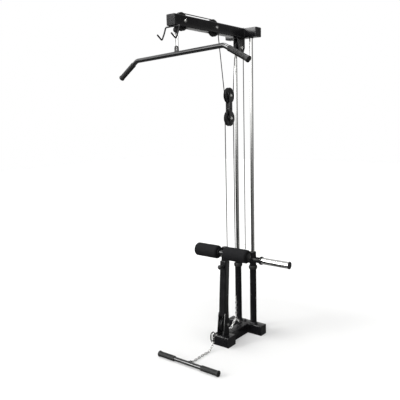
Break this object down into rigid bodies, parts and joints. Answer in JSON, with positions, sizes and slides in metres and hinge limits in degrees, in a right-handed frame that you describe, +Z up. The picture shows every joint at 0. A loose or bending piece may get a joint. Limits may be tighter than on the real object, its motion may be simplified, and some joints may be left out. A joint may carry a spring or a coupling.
{
  "type": "lat pulldown machine",
  "caption": "Plate-loaded pulldown tower with a high pulley and bent bar, a guided carriage with plate pegs, knee rollers and a low row handle on a chain.",
  "frame": {"origin": "on the floor, plumb below the middle of the two guide rods", "axes": "+Z up; the user sits on the -Y side and faces +Y; +X is the user's right; every pulley turns in the plane X = 0"},
  "size_m": [1.1031, 0.8782, 2.2415],
  "materials": {
    "paint": "satin",
    "chrome": "polished",
    "zinc": "satin",
    "plastic": "matte",
    "rubber": "matte",
    "foam": "matte",
    "cable": "satin"
  },
  "bodies": {
    "frame": {"anchor_chain": "zinc", "bar_hooks": "paint", "base_beam": "paint", "boom": "paint", "boom_cap": "plastic", "bumper_left": "rubber", "bumper_right": "rubber", "crossbar_cap_left": "plastic", "crossbar_cap_right": "plastic", "front_axle": "zinc", "front_foot": "paint", "front_upright": "paint", "guide_post_left": "paint", "guide_post_right": "paint", "guide_rod_left": "chrome", "guide_rod_right": "chrome", "hanger_axle": "zinc", "hanger_bracket": "paint", "high_loop_cable": "cable", "lift_cable": "cable", "low_axle": "zinc", "low_bracket": "paint", "low_loop_cable": "cable", "mid_axle": "zinc", "pin_housing": "plastic", "rear_foot": "paint", "top_cable": "cable", "top_crossbar": "paint"},
    "front_wheel": {"front_pulley": "plastic"},
    "mid_wheel": {"mid_pulley": "plastic"},
    "hanger_wheel": {"hanger_pulley": "plastic"},
    "low_wheel": {"low_pulley": "plastic"},
    "float_top_wheel": {"float_top_pulley": "plastic"},
    "float_low_wheel": {"float_low_pulley": "plastic"},
    "float_block": {"float_plates": "paint", "float_top_axle": "zinc", "float_low_axle": "zinc"},
    "carriage": {"carriage_frame": "paint", "plate_peg_left": "chrome", "plate_peg_right": "chrome", "peg_cap_left": "plastic", "peg_cap_right": "plastic"},
    "knee_post": {"roller_post": "paint", "roller_axle": "paint"},
    "left_roller": {"foam_roller_left": "foam"},
    "right_roller": {"foam_roller_right": "foam"},
    "pin": {"pull_pin": "plastic"},
    "bar_stopper": {"stopper": "rubber", "lat_cable": "cable"},
    "bar_link": {"lat_carabiner": "zinc"},
    "bar": {"pulldown_bar": "paint", "bar_grip_left": "rubber", "bar_grip_right": "rubber"},
    "row": {"row_cable": "cable", "row_cable_eye": "cable", "row_carabiner": "zinc", "row_chain": "zinc"},
    "row_bar": {"row_handle": "paint", "handle_grip_left": "rubber", "handle_grip_right": "rubber"}
  },
  "joints": [
    {"name": "carriage_lift", "type": "slide", "parent": "frame", "child": "carriage", "axis": [0, 0, 1], "range_m": [0, 1.2], "deforming": ["lift_cable"]},
    {"name": "bar_drop", "type": "slide", "parent": "frame", "child": "bar_stopper", "axis": [0, 0, -1], "range_m": [0, 1.2], "deforming": ["lat_cable"]},
    {"name": "bar_swing", "type": "hinge", "parent": "bar_stopper", "child": "bar_link", "pos_m": [0, -0.722, 2.1136], "axis": [0, 1, 0], "range_deg": [-15, 15]},
    {"name": "bar_turn", "type": "hinge", "parent": "bar_link", "child": "bar", "pos_m": [0, -0.722, 2.0256], "axis": [0, 0, 1], "range_deg": [-30, 30]},
    {"name": "front_spin", "type": "hinge", "parent": "frame", "child": "front_wheel", "pos_m": [0, -0.672, 2.1875], "axis": [1, 0, 0], "continuous": true},
    {"name": "mid_spin", "type": "hinge", "parent": "frame", "child": "mid_wheel", "pos_m": [0, -0.353, 2.1875], "axis": [1, 0, 0], "continuous": true},
    {"name": "hanger_spin", "type": "hinge", "parent": "frame", "child": "hanger_wheel", "pos_m": [0, -0.05, 2.09], "axis": [1, 0, 0], "continuous": true},
    {"name": "row_pull", "type": "slide", "parent": "frame", "child": "row", "axis": [0, -1, 0], "range_m": [0, 0.5]},
    {"name": "row_bar_turn", "type": "hinge", "parent": "row", "child": "row_bar", "pos_m": [0, -0.678, 0.0208], "axis": [0, 0, 1], "range_deg": [-25, 25]},
    {"name": "float_drop", "type": "slide", "parent": "frame", "child": "float_block", "axis": [0, 0, -1], "range_m": [0, 0.25], "deforming": ["high_loop_cable", "low_loop_cable"]},
    {"name": "float_top_spin", "type": "hinge", "parent": "float_block", "child": "float_top_wheel", "pos_m": [0, -0.184, 1.762], "axis": [1, 0, 0], "continuous": true},
    {"name": "float_low_spin", "type": "hinge", "parent": "float_block", "child": "float_low_wheel", "pos_m": [0, -0.184, 1.609], "axis": [1, 0, 0], "continuous": true},
    {"name": "low_spin", "type": "hinge", "parent": "frame", "child": "low_wheel", "pos_m": [0, -0.284, 0.151], "axis": [1, 0, 0], "continuous": true},
    {"name": "knee_height", "type": "slide", "parent": "frame", "child": "knee_post", "axis": [0, 0.068, 0.9977], "range_m": [-0.04, 0.02]},
    {"name": "pin_pull", "type": "slide", "parent": "frame", "child": "pin", "axis": [0, -0.9977, 0.068], "range_m": [0, 0.012], "stiffness_N_per_m": 400, "springref_m": -0.005},
    {"name": "left_roller_spin", "type": "hinge", "parent": "knee_post", "child": "left_roller", "pos_m": [0, -0.29733, 0.68047], "axis": [1, 0, 0], "continuous": true},
    {"name": "right_roller_spin", "type": "hinge", "parent": "knee_post", "child": "right_roller", "pos_m": [0, -0.29733, 0.68047], "axis": [1, 0, 0], "continuous": true}
  ],
  "couplings": [
    {"joint": "bar_drop", "follows": "carriage_lift", "ratio": 1},
    {"joint": "front_spin", "follows": "carriage_lift", "rad_per_m": 20},
    {"joint": "mid_spin", "follows": "carriage_lift", "rad_per_m": 20},
    {"joint": "hanger_spin", "follows": "carriage_lift", "rad_per_m": 20},
    {"joint": "float_top_spin", "follows": "carriage_lift", "rad_per_m": -20},
    {"joint": "float_drop", "follows": "row_pull", "ratio": 0.5},
    {"joint": "low_spin", "follows": "row_pull", "rad_per_m": -20},
    {"joint": "float_low_spin", "follows": "row_pull", "rad_per_m": 10}
  ]
}
